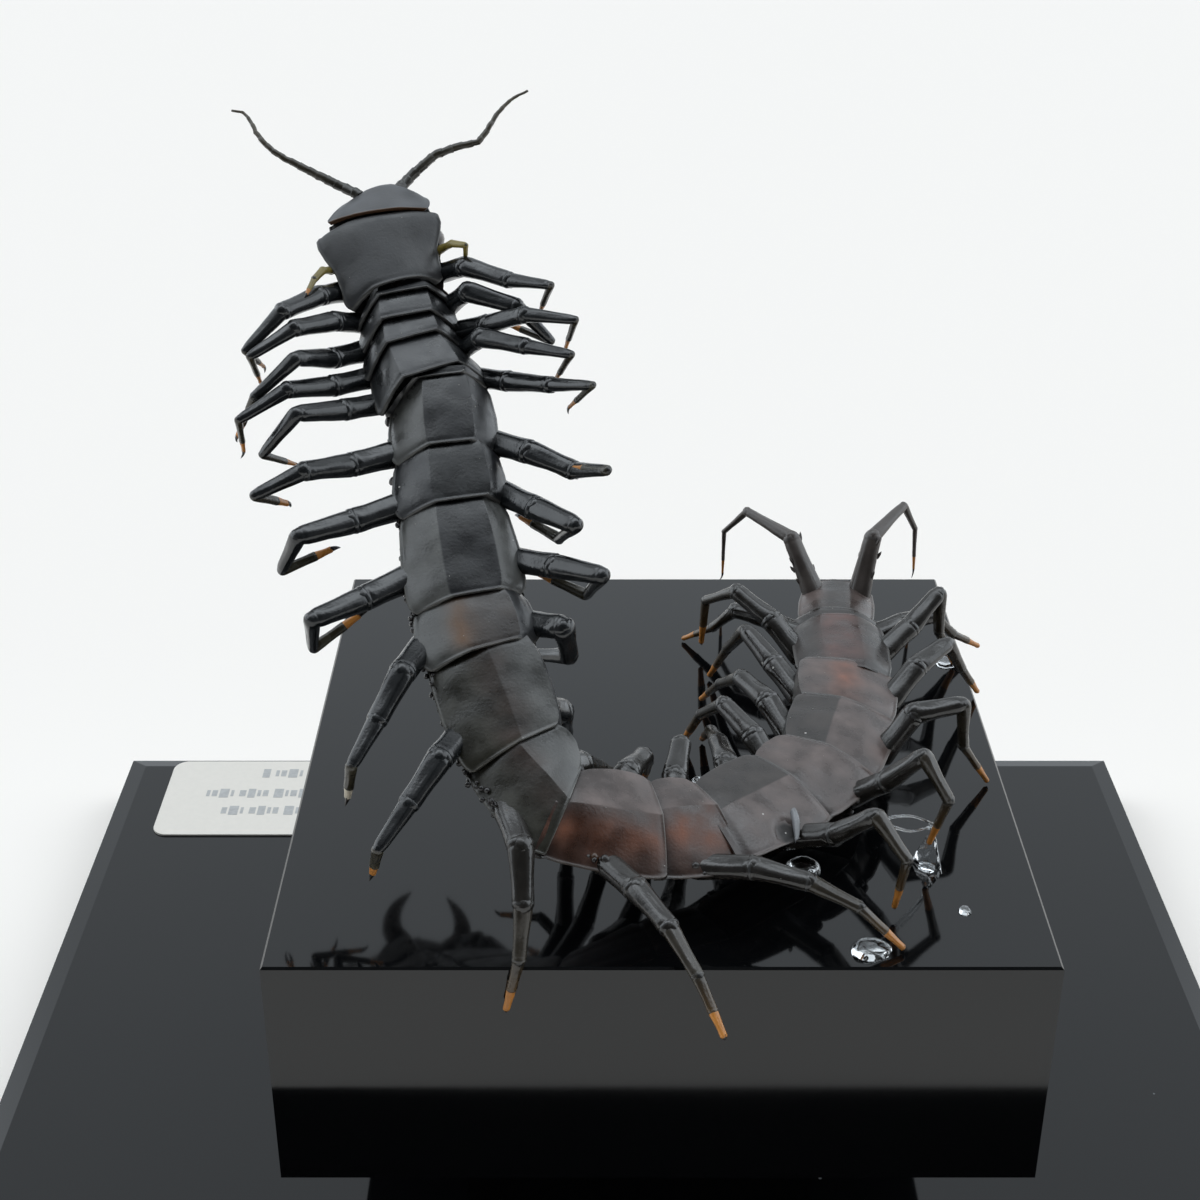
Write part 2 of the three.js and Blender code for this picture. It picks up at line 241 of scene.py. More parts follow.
tree.links.new(calc(tree, "ADD", stored.outputs["Alpha"], uneven), shader.inputs["Roughness"])
add_bump(tree, shader, clouds.outputs["Height"], 0.36, 0.0002)
print("finish", horn.name)

# %% [markdown]
# ### Polished black
# The stand is black plastic, polished like a mirror. What shows on it is the pale room, so the shader
# needs a very dark colour, a plain refractive index and a very low roughness, with a little dust and
# faint wiping marks.

# %% Polished black finish
polished, tree, shader = new_finish("polished_black", IOR=1.49)
specks = add_node(tree, "ShaderNodeGroup", node_tree=dust, Scale=260.0, Amount=0.012)
wiping = noise_at(tree, 9.0, 6.0, (1.0, 7.0, 1.0))
tree.links.new(mix_colors(tree, specks.outputs["Specks"], (0.0022, 0.0024, 0.0028), (0.09, 0.095, 0.1)),
               shader.inputs["Base Color"])
worn = soft_step(tree, wiping, 0.35, 0.8, 0.035, 0.07)
tree.links.new(calc(tree, "ADD", worn, calc(tree, "MULTIPLY", specks.outputs["Specks"], 0.5)),
               shader.inputs["Roughness"])
add_bump(tree, shader, noise_at(tree, 30.0, 2.0), 0.02, 0.0005)
for node_name in ("base_plate", "riser", "display_block"):
    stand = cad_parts[node_name]
    stand.data.materials.clear()
    stand.data.materials.append(polished)
    rounding = stand.modifiers.new("worn_edges", "BEVEL")
    rounding.width, rounding.segments, rounding.angle_limit = 0.00012, 3, math.radians(30)
print("finish", polished.name)

# %% Glue and card finishes
clear_glue, tree, shader = new_finish(
    "clear_glue", Base_Color=(0.93, 0.95, 0.96, 1.0), Transmission_Weight=1.0, IOR=1.5, Roughness=0.04)
add_bump(tree, shader, noise_at(tree, 400.0, 2.0), 0.05, 0.0004)

card_paper, tree, shader = new_finish("card_paper", Roughness=0.75)
fibres = noise_at(tree, 900.0, 6.0)
tree.links.new(mix_colors(tree, fibres, (0.66, 0.625, 0.57), (0.72, 0.68, 0.62)), shader.inputs["Base Color"])
add_bump(tree, shader, fibres, 0.15, 0.0001)

card_ink, tree, shader = new_finish("card_ink", Roughness=0.7)
patchy = noise_at(tree, 1500.0, 3.0)
tree.links.new(mix_colors(tree, patchy, (0.30, 0.30, 0.30), (0.5, 0.5, 0.49)), shader.inputs["Base Color"])

floor_paint, tree, shader = new_finish("pale_floor", Roughness=0.8, Specular_IOR_Level=0.1,
                                       Emission_Color=(0.9, 0.93, 0.94, 1.0), Emission_Strength=0.1)
place = add_node(tree, "ShaderNodeTexCoord").outputs["Object"]
floor_place = add_node(tree, "ShaderNodeSeparateXYZ", Vector=place)
# painted shade: the floor is painted darker towards the back
painted_falloff = soft_step(tree, floor_place.outputs["Y"], -0.08, 0.2)
mottled_near = mix_colors(tree, noise_at(tree, 6.0, 2.0), (0.91, 0.86, 0.805), (0.925, 0.875, 0.82))
tree.links.new(mix_colors(tree, painted_falloff, mottled_near, (0.815, 0.765, 0.718)), shader.inputs["Base Color"])
print("small finishes ready")


# %% [markdown]
# ## Making meshes
# Every piece of the animal is a skin over rings of points: a leg, a feeler, the soft sides, and also a
# back plate, whose rings run round its upper and lower face. So one helper collects such skins, with the
# shade of each point, and turns them into one mesh that rides on the measured model.

# %% Shape helper
def unit(v):
    return v / max(np.linalg.norm(v), 1e-9)


def ripple(points, size, seed):
    """Smooth noise from -1 to 1 at every point, with waves of about the given size in millimetres."""
    flat = np.asarray(points, float).reshape(-1, 3) / size + seed * 7.31
    values = [noise.noise(Vector(p)) for p in flat]
    return np.array(values).reshape(np.shape(points)[:-1])


def bell(x, centre, width):
    """A soft bump: 1 at the centre, and near 0 at twice the width from it."""
    return np.exp(-((x - centre) / width) ** 2)


def circle(count):
    """The angles of that many points all round."""
    return np.arange(count) * 2 * math.pi / count


def ring_round(centre, radius, turn, across, over):
    """A ring of points; the radius is one number, or one for each angle."""
    return centre + np.outer(radius * np.cos(turn), across) + np.outer(radius * np.sin(turn), over)


x_axis, y_axis, z_axis = np.eye(3)


class Shape:
    """Skins collected into one mesh. A tint is red, green, blue and roughness."""

    def __init__(self):
        self.points, self.faces, self.tints = [], [], []

    def skin(self, rings, tint):
        rings = np.asarray(rings, float)
        count, around = rings.shape[:2]
        start = len(self.points)
        self.points += [tuple(p) for p in rings.reshape(-1, 3)]
        tint = np.asarray(tint, float)
        if tint.ndim == 2:
            tint = tint[:, None, :]
        self.tints += [tuple(t) for t in np.broadcast_to(tint, (count, around, 4)).reshape(-1, 4)]
        for r in range(count - 1):
            for i in range(around):
                a, b = start + r * around + i, start + r * around + (i + 1) % around
                self.faces.append((a, b, b + around, a + around))
        self.faces.append(tuple(start + i for i in reversed(range(around))))
        self.faces.append(tuple(start + (count - 1) * around + i for i in range(around)))

    def slab(self, top, under, tint):
        """A thin plate between an upper and a lower face."""
        self.skin(np.concatenate([top, under[:, ::-1]], axis=1), np.concatenate([tint, tint[:, ::-1]], axis=1))

    def make(self, name, material, slot, replaces=(), crease=40.0):
        mesh = bpy.data.meshes.new(name)
        mesh.from_pydata([tuple(c * MM for c in p) for p in self.points], [], self.faces)
        tidy = bmesh.new()
        tidy.from_mesh(mesh)
        bmesh.ops.recalc_face_normals(tidy, faces=tidy.faces)
        tidy.to_mesh(mesh)
        tidy.free()
        mesh.shade_smooth()
        mesh.set_sharp_from_angle(angle=math.radians(crease))
        tint = mesh.attributes.new("tint", "FLOAT_COLOR", "POINT")
        tint.data.foreach_set("color", np.array(self.tints, np.float32).ravel())
        mesh.materials.append(material)
        piece = bpy.data.objects.new(name, mesh)
        bpy.context.scene.collection.objects.link(piece)
        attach(piece, "root")
        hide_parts(*replaces)
        return piece


# %% [markdown]
# ## The line of the back
# The body is one long curve. Each row below is a joint between two back plates: its place, the body's
# width, how far the sides droop, and how far the body leans to its left. Between rows the values are
# blended, so any place along the body can be asked for.

# %% Back line
back_line = [
    [-39.1, 40.6, 72.1, 14.0, 2.2, 4], [-40.4, 31.1, 70.2, 17.0, 2.8, 5], [-36.3, 22.9, 63.3, 13.2, 4.6, 8],
    [-35.8, 21.4, 62.6, 13.2, 4.8, 8], [-34.9, 18.4, 60.1, 13.4, 4.8, 8], [-33.9, 15.5, 58.0, 13.8, 4.6, 8],
    [-30.9, 10.5, 54.9, 14.2, 4.2, 7], [-30.4, 9.6, 54.3, 14.4, 4.0, 6], [-29.1, 0.9, 47.7, 14.8, 3.0, 5],
    [-27.8, -5.9, 42.3, 15.2, 2.6, 5], [-25.1, -17.2, 33.9, 15.8, 2.4, 6], [-22.9, -24.0, 29.6, 15.8, 2.4, 8],
    [-18.0, -34.4, 21.8, 14.6, 2.6, 8], [-11.5, -40.3, 17.0, 14.2, 2.8, 8], [0.3, -37.9, 13.3, 15.6, 2.8, 6],
    [8.0, -35.4, 12.3, 15.2, 2.6, 4], [17.8, -27.0, 12.0, 15.4, 2.6, 2], [23.6, -19.6, 12.0, 15.0, 2.6, 0],
    [27.2, -7.0, 12.0, 14.8, 2.5, 0], [28.4, 4.0, 12.0, 14.4, 2.4, 0], [28.9, 19.2, 11.2, 13.4, 2.2, 0],
    [29.0, 21.7, 11.0, 12.2, 2.0, 0], [30.5, 32.7, 10.0, 10.5, 1.6, 0],
]


def turned(v, axis, degrees):
    angle = math.radians(degrees)
    return v * math.cos(angle) + np.cross(axis, v) * math.sin(angle)


rows = []
for i, (x, y, z, width, droop, roll) in enumerate(back_line):
    ahead = np.array(back_line[max(i - 1, 0)][:3])
    behind = np.array(back_line[min(i + 1, len(back_line) - 1)][:3])
    forward = unit(ahead - behind)
    up = unit(z_axis - forward * forward[2])
    rows.append((np.array([x, y, z]) + middle_of_block_top, forward, turned(up, forward, -roll), width, droop))


class Place:
    """Where the back is at a station along the rows, and which way head, left and up are there."""

    def __init__(self, station):
        i = min(max(int(math.floor(station)), 0), len(rows) - 2)
        t = station - i
        a, b = rows[i], rows[i + 1]
        self.at = a[0] + (b[0] - a[0]) * t
        self.forward = unit(a[1] + (b[1] - a[1]) * t)
        up = a[2] + (b[2] - a[2]) * t
        self.up = unit(up - self.forward * np.dot(up, self.forward))
        self.left = np.cross(self.up, self.forward)
        self.width, self.droop = a[3] + (b[3] - a[3]) * t, a[4] + (b[4] - a[4]) * t

    def point(self, left, up):
        return self.at + self.left * left + self.up * up


body_length = sum(np.linalg.norm(rows[i + 1][0] - rows[i][0]) for i in range(len(rows) - 1))
print("length along the back", round(body_length), "mm")

# %% [markdown]
# ## Back plates
# Each trunk segment carries a horn plate on its back. It has a flat middle panel and two sloping side
# panels that meet in sharp creases, a thin raised rim, and rounded rear corners. Its front tucks under the
# plate ahead. A grid of points takes all of these as small changes of height. The grid is denser at the
# rims and the creases, where the shape turns quickly.

# %% Plate shape
tuck, plate_thickness = 1.6, 0.3
rim_steps = [0.0, 0.07, 0.14, 0.22, 0.32, 0.44, 0.6, 0.85, 1.2]
default_outline = [(-0.4, 0.88), (0.0, 0.93), (0.12, 0.99), (0.5, 1.05), (0.82, 1.04), (1.0, 1.0)]


def plate_steps(half, creases):
    """Places across a plate from left 1 to right -1, dense at the rims and at both creases."""
    rims = [1 - d / half for d in rim_steps]
    near = [c + d for c in creases for d in (0.05, 0.02, 0.008, 0.0, -0.008, -0.02, -0.05)]
    steps = sorted(rims + [-r for r in rims] + near + list(np.linspace(-0.8, 0.8, 17)), reverse=True)
    kept = [steps[0]]
    for u in steps[1:]:
        if kept[-1] - u > 0.006:
            kept.append(u)
    return np.array(kept)


def panel_shares(u, creases):
    """How far each place is out on the left and on the right side panel: 0 at the crease, 1 at the rim."""
    left, right = creases
    return np.clip((u - left) / (1 - left), 0, 1), np.clip((right - u) / (1 + right), 0, 1)


def plate_height(u, droops, creases):
    """Height across a plate: a nearly flat middle, sharp creases, and slightly swollen side panels."""
    out_left, out_right = panel_shares(u, creases)
    centre, reach = (creases[0] + creases[1]) / 2, (creases[0] - creases[1]) / 2
    middle = 0.1 * (1 - np.clip(np.abs(u - centre) / reach, 0, 1) ** 2)
    swollen = 0.25 * (np.sin(math.pi * out_left) + np.sin(math.pi * out_right))
    return middle - droops[0] * out_left ** 1.05 - droops[1] * out_right ** 1.05 + swollen


def rim_relief(edge, bead=0.08, groove=0.06):
    """The raised bead right at an edge and the groove inside it; edge is the distance in millimetres."""
    return bead * bell(edge, 0.12, 0.12) - groove * bell(edge, 0.5, 0.18)


def back_plate(shape, front, rear, tints, seed, creases, spread, skew, droop_shares, outline, lip, corner,
               sweep, dents, rough, smooth, torn, glow):
    """Adds one plate between two stations. tints are the shades of the left, middle and right panel; spread
    is how many millimetres the left and the right side stand out more, at the front and at the rear; skew
    is how far the front edge goes forward on the right."""
    a, b = Place(front), Place(rear - 1e-6)
    length = np.linalg.norm(b.at - a.at)
    across = plate_steps((a.width + b.width) / 4, creases)
    along = [1 - d / length for d in rim_steps if d < length * 0.7]
    count = max(4, int((length + tuck) / 0.6))
    along = np.array(sorted(set(along) | set(np.linspace(-tuck / length, along[-1], count))))
    shares = np.interp(along, *zip(*outline))
    out_left, out_right = panel_shares(across, creases)
    swept = sweep[0] * out_left ** 1.15 + sweep[1] * out_right ** 1.15
    top = np.zeros((len(along), len(across), 3))
    under = np.zeros_like(top)
    edge = np.zeros(top.shape[:2])
    for j, v in enumerate(along):
        here = Place(front + (rear - front) * min(max(v, 0.0), 1 - 1e-6))
        if v < 0:
            here.at = here.at + (a.at - b.at) * -v
        half_here = here.width / 2 * shares[j]
        from_rear = (1 - v) * length
        if from_rear < corner:
            half_here -= 0.8 * (corner - math.sqrt(max(corner ** 2 - (corner - from_rear) ** 2, 0)))
        edge[j] = np.minimum((1 - np.abs(across)) * half_here, from_rear)
        sink = lip * math.exp(-max(v, 0) * length / min(2.4, 0.7 * length)) + (0.3 if v < 0 else 0)
        if smooth:
            heights = 0.5 - (1.2 + 1.8 * max(v, 0)) * np.abs(across) ** 2.4
        else:
            heights = plate_height(across, [here.droop * share for share in droop_shares], creases)
        heights = heights + rim_relief(edge[j]) - sink
        slope = np.maximum(out_left, out_right)
        wider = [start + (end - start) * min(max(v, 0), 1) for start, end in spread]
        for i, u in enumerate(across):
            out = u * (half_here + wider[0 if u > 0 else 1])
            top[j, i] = here.point(out, heights[i]) - here.forward * (swept[i] + skew * u * (1 - max(v, 0)))
            under[j, i] = (top[j, i] - here.up * plate_thickness * (1 - 0.3 * slope[i])
                           - here.left * u * 0.2 * slope[i])
    bumps = ripple(top, 4.5, seed) * dents + ripple(top, 1.7, seed + 5) * dents * 0.22
    if torn:
        notch = np.exp(-(((across[None, :] - 0.84) / 0.17) ** 2 + ((along[:, None] - 0.47) / 0.09) ** 2) ** 2)
        bumps = bumps - 2.2 * notch
    top += (bumps * np.clip(edge / 1.2, 0.1 if torn else 0, 1))[..., None] * Place((front + rear) / 2).up
    left, middle, right = (np.array([*t, rough]) for t in tints)
    blend = 0.3 if front > 17 else 0.03
    is_left = np.clip((across - creases[0]) / blend + 0.5, 0, 1)[None, :, None]
    is_right = np.clip((creases[1] - across) / blend + 0.5, 0, 1)[None, :, None]
    tint = middle + (left - middle) * is_left + (right - middle) * is_right
    tint = np.broadcast_to(tint, (*top.shape[:2], 4)).copy()
    cloud = np.clip(0.5 + ripple(top, 3.4, seed + 11) * 1.1, 0, 1)[..., None]
    if glow:
        spot, colour = glow
        past_crease = (across - creases[0]) / (1 - creases[0])
        warm = bell(past_crease, spot, 0.28)[None, :] * (0.4 + 0.6 * cloud[..., 0])
        warm = (warm * np.clip(edge / 1.5, 0, 1))[..., None]
        tint[..., :3] = tint[..., :3] * (1 - warm) + np.array(colour) * warm
        tint[..., 3:] += 0.1 * warm
    streak = np.clip(0.5 + ripple(top * np.array([1.0, 1.0, 0.35]), 1.3, seed + 23), 0, 1)[..., None]
    shadow = np.exp(-np.clip(along, 0, 1) * length / min(0.8, 0.2 * length))[:, None, None]
    tint[..., :3] *= (0.6 + 0.6 * cloud + 0.2 * streak) * (1 - 0.55 * shadow)
    tint[..., 3:] += 0.12 * (cloud - 0.5) + 0.05 * (streak - 0.5)
    # painted highlight: a pale line is painted along every rim of the plate
    painted_rim_highlight = 0.5 * bell(edge, 0.1, 0.1)[..., None]
    tint = tint * (1 - painted_rim_highlight) + np.array([0.13, 0.125, 0.115, 0.34]) * painted_rim_highlight
    if torn:
        # painted shade: the notch is painted near black so that the dent looks like a hole
        painted_hole_shade = np.clip(notch * 2.2, 0, 1)[..., None]
        tint = tint * (1 - painted_hole_shade) + np.array([0.006, 0.004, 0.003, 0.6]) * painted_hole_shade
    shape.slab(top, under, tint)
    return top


# %% [markdown]
# The shades follow the real animal. The front plates are black, the middle ones grey with brown strips
# beside the left crease, and towards the tail the horn turns a translucent reddish brown. The dried body
# is twisted, so the creases don't lie evenly: on the plates in the bend, the left panel reaches to the
# middle of the back, and the right one is turned out of sight. The five neck plates overlap like shingles,
# and their sides are swept back.

# %% Plate shades and creases
black, soot, slate = (0.013, 0.014, 0.015), (0.007, 0.0075, 0.009), (0.027, 0.028, 0.030)
pale, moss, dusk = (0.066, 0.067, 0.064), (0.020, 0.019, 0.013), (0.026, 0.020, 0.017)
umber, rose, clay = (0.028, 0.012, 0.007), (0.085, 0.064, 0.058), (0.15, 0.062, 0.040)
amber, ember, maroon = (0.085, 0.042, 0.018), (0.12, 0.034, 0.011), (0.072, 0.036, 0.030)
plate_looks = [
    # left, middle and right shade, creases, lip, sweep of the left and the right side, glow
    (slate, slate, slate, (0.5, -0.5), 0.9, (1.4, 0.2), None),
    (slate, slate, slate, (0.45, -0.5), 1.0, (2.8, 1.4), None),
    (slate, slate, black, (0.5, -0.5), 1.0, (2.9, 1.8), None),
    (black, slate, black, (0.5, -0.5), 1.0, (2.9, 1.9), None),
    (black, slate, black, (0.5, -0.5), 0.9, (2.8, 2.6), None),
    (slate, black, soot, (0.4, -0.55), 0.8, (2.2, 0.8), None),
    (pale, soot, slate, (0.31, -0.58), 0.6, (1.2, 0.6), None),
    (slate, black, soot, (0.305, -0.71), 0.5, (0.8, 0.4), None),
    (pale, soot, pale, (0.3, -0.59), 0.45, (0.6, 0.3), None),
    (pale, dusk, slate, (0.24, -0.66), 0.4, (0.4, 0.3), (0.0, amber)),
    (moss, pale, slate, (-0.08, -0.85), 0.35, (0.4, 0.0), (0.05, umber)),
    (moss, pale, slate, (0.0, -0.9), 0.35, (0.4, 0.0), (0.1, umber)),
    (umber, rose, rose, (0.05, -0.9), 0.3, (0.2, 0.0), (0.45, ember)),
    (umber, rose, rose, (-0.13, -0.9), 0.3, (0.0, 0.0), (0.4, ember)),
    (rose, dusk, pale, (-0.03, -0.9), 0.3, (0, 0), None), (rose, rose, pale, (0.0, -0.9), 0.3, (0, 0), None),
    (rose, dusk, pale, (-0.1, -0.9), 0.3, (0, 0), None), (rose, rose, pale, (0, -0.9), 0.3, (0, 0), (0, clay)),
    (dusk, maroon, dusk, (0.4, -0.4), 0.3, (0, 0), None), (dusk, dusk, dusk, (0.4, -0.4), 0.25, (0, 0), None),
    (rose, dusk, rose, (0.35, -0.35), 0.3, (0, 0), None),
]
shoulders = [(-0.3, 0.8), (0.0, 0.84), (0.05, 0.92), (0.12, 0.99), (0.25, 1.03), (0.4, 0.99), (0.56, 0.91),
             (0.75, 0.92), (1.0, 1.0)]
spreads = {1: ((0.1, 1.9), (0.8, 0.3)), 2: ((0.6, 1.5), (0.2, 0.7)), 3: ((0.6, 1.2), (0.2, 0.3)),
           4: ((0.6, 1.6), (0.2, 0.3)), 5: ((0.8, 2.4), (0.4, 0.9)), 6: ((0.8, 0.5), (0.5, 0.2))}
neck_outline = [(-1.0, 0.9), (0.0, 0.98), (0.5, 1.02), (1.0, 1.0)]
torn_plate, first_brown_plate = 15, 12
plates, plate_grids = [], []
for k, (left, middle, right, creases, lip, sweep, glow) in enumerate(plate_looks, start=1):
    shape = Shape()
    neck = 2 <= k <= 5
    drooping = (1.6, 1.5) if 12 <= k <= 14 else (1.15, 1.5) if 11 <= k <= 18 else (0.8, 0.8) if neck else (1, 1)
    plate_grids.append(back_plate(
        shape, 0.84 if k == 1 else k, k + 1, (left, middle, right), k, creases,
        spread=spreads.get(k, ((0, 0), (0, 0))), skew=0.9 if k == 1 else 0.0, droop_shares=drooping,
        outline=shoulders if k == 1 else neck_outline if neck else default_outline,
        lip=lip, corner=0.9 if neck else 1.7, sweep=sweep, dents=0.1 if k < 6 else 0.2,
        rough=0.45 if k < 3 else 0.31, smooth=k == 1, torn=k == torn_plate, glow=glow))
    plates.append(shape)
print("back plates", len(plates))

# %% [markdown]
# ## Legs
# A leg is a chain of horn tubes: thigh, knee piece, shin and a foot of two small pieces that ends in a
# black claw. Each tube starts narrow inside the one before it and flares into a lip at its far end, which
# a painted highlight makes pale.
# The dried tubes are a little flattened, with grooves. Every leg bends in one plane, from the hip angles
# of the table, and a foot that would sink into the block is raised until its claw stands on it.

# %% Leg poses
leg_poses = [
    [1.36, 0.46, [-60, 45, 47, 24, 1], [-52, 59, 52, 31, -92]],
    [1.66, 1.1, [-35, 37, 25, -12, -114], [-48, 48, 17, 29, -101]],
    [3.05, 1.08, [-27, 46, 33, 2, -96], [-38, 60, 7, -43, -180]],
    [4.2, 1.12, [-25, 32, 44, -20, -60], [-36, 44, 45, 21, -98]],
    [5.15, 1.12, [-12, 20, 29, -12, -93], [-55, 61, 25, 26, -105]],
    [5.9, 1.13, [-7, 19, 25, -49, -134], [-61, 34, 34, 38, -112]],
    [7.85, 1.06, [-20, 20, 30, -5, -125], [-40, 30, 15, 45, -140]],
    [8.75, 1.13, [-20, 15, 20, -65, -175], [-50, 30, 30, -110, -160]],
    [9.6, 1.14, [-25, 15, 20, -85, -190], [-40, 35, 30, -105, -175]],
    [10.55, 1, [-50, 30, -5, 0, -75], [-45, 40, -80, -135, -175]],
    [11.6, 1, [-35, 25, -5, -5, -85], [0, -50, -80, -75, -100]],
    [12.5, 1, [-50, 20, -20, -40, -80], [-15, -30, -45, -45, -95]],
    [13.5, 1, [-35, 15, 5, -10, -20], [-25, 15, -15, -40, -70]],
    [14.5, 1, [-50, 20, 5, -10, -60], [-30, 15, 5, -45, -105]],
    [15.6, 1, [-20, 25, 45, -45, -95], [-35, 10, -10, -20, -115]],
    [16.6, 1, [-5, 40, 50, -55, -105], [-25, 25, 10, -40, -65]],
    [17.55, 1, [-30, 55, 5, -85, -95], [-45, 20, 0, -35, -110]],
    [18.6, 1, [-50, 30, 10, -55, -75], [-50, 20, 20, -50, -65]],
    [19.6, 1, [-40, 25, 35, -85, -95], [-40, 35, 20, -30, -85]],
    [20.2, 0.8, [-30, 10, 0, -45, -80], [-30, 10, 0, -45, -80]],
    [21.75, 1, [-60, 70, 15, -50, -85], [-40, 55, 10, -45, -90]],
]
leg_pieces, last_leg_pieces, claw_length = [6.6, 7.2, 7.0, 6.6], [10.5, 9.9, 7.0, 7.4], 1.5
claw_clearance = 0.3


def leg_line(pair, side):
    """The joints of one leg from hip to claw tip, the direction of each piece, and the hinge direction."""
    station, size, *poses = leg_poses[pair]
    swing, *rises = poses[0] if side > 0 else poses[1]
    body, last = Place(station), pair == 20
    swing = math.radians(swing)
    outward = body.left * side * math.cos(swing) + body.forward * math.sin(swing)
    lengths = [long * size for long in (last_leg_pieces if last else leg_pieces)] + [claw_length]
    tucked = 10 <= pair <= 15
    hip = body.point(side * body.width * (0.3 if last else 0.36 if tucked else 0.46),
                     -2.2 if last else -body.droop - (2.0 if tucked else 1.4))
    bends = [*rises, rises[3]]
    while True:
        ways = [outward * math.cos(math.radians(r)) + body.up * math.sin(math.radians(r)) for r in bends]
        joints = [hip]
        for way, long in zip(ways, lengths):
            joints.append(joints[-1] + way * long)
        x, y, z = joints[5]
        if z >= block_top + claw_clearance or abs(y - block_y) >= block_depth / 2 + 1:
            return joints, ways, np.cross(outward, body.up)
        bends[3] += 2
        bends[4] += 2


# %% Leg pieces
tube_profile = [(-0.08, 0.6), (-0.04, 0.86), (0.01, 0.97), (0.08, 1.02), (0.3, 1.0), (0.5, 0.96), (0.7, 0.96),
                (0.86, 1.0), (0.93, 1.01), (0.945, 0.985), (0.96, 1.01), (0.985, 1.03), (1.0, 1.01)]
tube_end = [(0.12, 0.98), (0.3, 0.88), (0.45, 0.7), (0.55, 0.45), (0.6, 0.2)]


def horn_tube(shape, start, end, hinge, radii, tint, lip_highlight_tint, seed, blunt):
    """One tube of a limb, from a narrow start to a flared lip; a blunt one has no lip and a rounded end."""
    way = unit(end - start)
    over = np.cross(way, hinge)
    length = np.linalg.norm(end - start)
    turn = circle(20)
    grooves = 0.2 * bell(turn, 1.9, 0.28) + 0.16 * bell(turn, 5.0, 0.35) + 0.1 * bell(turn, 0.5, 0.3)
    first, last = np.array(tint[:4]), np.array(tint[-4:])
    rings, tints = [], []
    for s, share in tube_profile + [(1 + out * radii[1] / length, share) for out, share in tube_end]:
        radius = (radii[0] + (radii[1] - radii[0]) * min(max(s, 0), 1)) * share
        if blunt and s > 0.75:
            radius *= 1 - 0.22 * min((s - 0.75) / 0.25, 1) ** 2
        dent = grooves * math.sin(math.pi * min(max(s, 0), 1))
        flattened = radius * (1 + 0.1 * np.cos(2 * turn) - dent)
        rings.append(ring_round(start + way * s * length, flattened, turn, hinge, over))
        # painted highlight: near the far end the colour turns to the lip's paler highlight colour
        lip = 0.0 if blunt else bell(s, 0.99, 0.012) * 0.4
        tints.append((first + (last - first) * min(max(s, 0), 1)) * (1 - lip) + np.array(lip_highlight_tint) * lip)
    rings = np.array(rings)
    rings += (ripple(rings, 2.2, seed) * 0.07 * max(radii))[..., None] * over
    shape.skin(rings, np.array(tints))


def joint_skin(shape, centre, radius, way, hinge, tint):
    """The wrinkled skin that fills a joint: a small round knot."""
    over, turn = np.cross(way, hinge), circle(12)
    rings = []
    for a in np.linspace(-1.25, 1.25, 7):
        r = radius * math.cos(a) * (1 + 0.06 * np.cos(5 * turn + a * 4))
        rings.append(ring_round(centre + way * radius * math.sin(a), r, turn, hinge, over))
    shape.skin(rings, tint)


def claw(shape, start, way, down, radius, length, tint):
    """A curved black claw."""
    hinge = unit(np.cross(way, down))
    rings, p, steps = [], np.array(start), 7
    for t in np.arange(steps + 1) / steps:
        bend = way * math.cos(t * 0.9) + down * math.sin(t * 0.9)
        rings.append(ring_round(p, radius * (1 - t) ** 0.75 + 0.02, circle(8), hinge, np.cross(bend, hinge)))
        p = p + bend * length / steps
    shape.skin(rings, tint)


# %% [markdown]
# Most legs are glossy black, and dark brown toward the tail. The last small piece is orange, but one left
# foot is pale. The first pair is short and olive yellow instead of black. The last pair is held up like a
# second pair of feelers: it is brown, longer, and carries small spines.

# %% Legs
leg_black, leg_olive = (0.007, 0.008, 0.009, 0.15), (0.028, 0.024, 0.014, 0.22)
leg_orange, cream = (0.46, 0.18, 0.03, 0.32), (0.5, 0.45, 0.36, 0.5)
# the lip colours are painted highlights on the flared ends of the tubes
leg_lip_highlight, first_lip_highlight = (0.09, 0.095, 0.1, 0.25), (0.3, 0.25, 0.1, 0.4)
claw_black, joint_dark = (0.012, 0.009, 0.008, 0.2), (0.012, 0.011, 0.010, 0.3)
first_yellow, last_brown = (0.17, 0.13, 0.022, 0.35), (0.058, 0.047, 0.041, 0.36)
tail_brown, shin_brown = (0.015, 0.013, 0.011, 0.17), (0.030, 0.025, 0.018, 0.2)
foot_amber, pale_foot = (0.075, 0.045, 0.018, 0.3), (9, 1)
leg_radii = [(1.85, 1.65), (1.6, 1.3), (1.15, 0.82), (0.74, 0.62), (0.58, 0.42)]
neck_leg_radii = [(1.6, 1.5), (1.45, 1.2), (1.05, 0.7), (0.6, 0.48), (0.44, 0.28)]
first_leg_radii = [(0.72, 0.66), (0.64, 0.6), (0.56, 0.48), (0.42, 0.34), (0.32, 0.2)]
last_leg_radii = [(1.9, 1.3), (1.15, 0.78), (0.62, 0.45), (0.38, 0.28), (0.26, 0.18)]
last_leg_spines = [(0.97, 1.6, 2.6), (0.9, -0.4, 1.3), (0.7, 0.3, 1.1), (0.62, 3.0, 1.0), (0.5, 2.2, 1.0),
                   (0.4, -0.2, 1.0), (0.3, 2.8, 0.9)]


